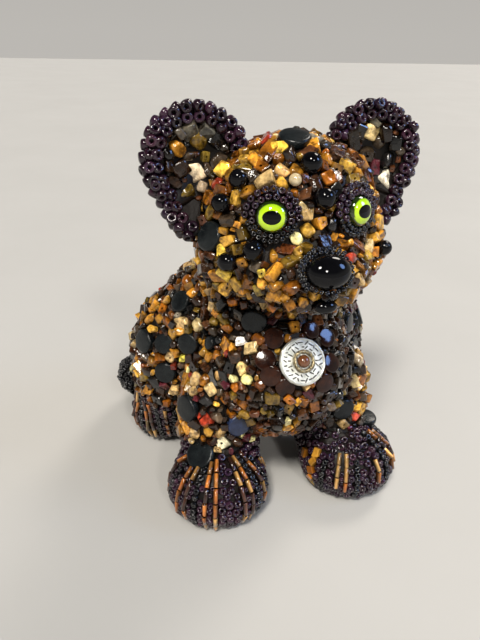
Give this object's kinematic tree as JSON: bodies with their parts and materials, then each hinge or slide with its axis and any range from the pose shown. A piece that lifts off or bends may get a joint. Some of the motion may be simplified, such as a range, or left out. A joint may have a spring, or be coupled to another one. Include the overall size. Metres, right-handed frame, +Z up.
{
  "type": "beaded animal figure",
  "caption": "Sitting spotted cub figure covered with a glossy mosaic of stone chips, glass seed beads and coin beads, with glass eyes and a round chest medallion.",
  "frame": {"origin": "on the ground, under the middle of the figure's bounding box", "axes": "+Z up; the cub faces -Y; its own left side is +X"},
  "size_m": [0.1144, 0.1188, 0.1495],
  "materials": {
    "core": "carved, unpainted, hidden under the beads",
    "gold_stone": "polished tiger-eye, jasper and quartz chips in clear gloss resin",
    "grey_stone": "polished grey, smoky and cream chips in clear gloss resin",
    "purple_glass": "dark purple transparent glass seed beads, high gloss",
    "black_glass": "opaque black glass and onyx, high gloss",
    "eye_glass": "domed clear glass over a lime green iris",
    "cream_stone": "polished cream stone",
    "amber_stone": "polished brown and amber stone",
    "silver_metal": "worn silver-coloured pewter with dark recesses"
  },
  "bodies": {
    "root": {"back_coin": "black_glass", "black_face_bead_1": "black_glass", "black_face_bead_2": "black_glass", "black_face_bead_3": "black_glass", "black_face_bead_4": "black_glass", "black_face_bead_5": "black_glass", "black_face_bead_6": "black_glass", "black_face_bead_7": "black_glass", "cheek_coin": "black_glass", "cream_face_bead": "cream_stone", "crown_coin": "black_glass", "elbow_coin": "black_glass", "haunch_coin_front": "black_glass", "haunch_coin_low": "black_glass", "haunch_coin_side": "black_glass", "head_core": "core", "head_mosaic": "gold_stone", "left_ear_back_mosaic": "gold_stone", "left_ear_core": "core", "left_ear_front_mosaic": "grey_stone", "left_ear_rim_beads": "purple_glass", "left_eye": "eye_glass", "left_eye_bead_ring": "purple_glass", "left_front_leg_core": "core", "left_front_leg_mosaic": "gold_stone", "left_front_paw_beads": "purple_glass", "left_hind_leg_core": "core", "left_hind_leg_mosaic": "gold_stone", "left_hind_paw_beads": "purple_glass", "left_leg_coin": "black_glass", "medallion_disc": "silver_metal", "medallion_ring": "silver_metal", "medallion_stone": "amber_stone", "mouth_bead": "black_glass", "neck_coin": "black_glass", "nose_bead_ring": "black_glass", "nose_cabochon": "black_glass", "right_ear_back_mosaic": "gold_stone", "right_ear_core": "core", "right_ear_front_mosaic": "grey_stone", "right_ear_rim_beads": "purple_glass", "right_eye": "eye_glass", "right_eye_bead_ring": "purple_glass", "right_front_leg_core": "core", "right_front_leg_mosaic": "gold_stone", "right_front_paw_beads": "purple_glass", "right_hind_leg_core": "core", "right_hind_leg_mosaic": "gold_stone", "right_hind_paw_beads": "purple_glass", "right_leg_coin": "black_glass", "right_wrist_coin": "black_glass", "shoulder_coin": "black_glass", "tail_core": "core", "tail_mosaic": "gold_stone", "tail_tip_beads": "black_glass", "torso_core": "core", "torso_mosaic": "gold_stone"}
  },
  "joints": []
}
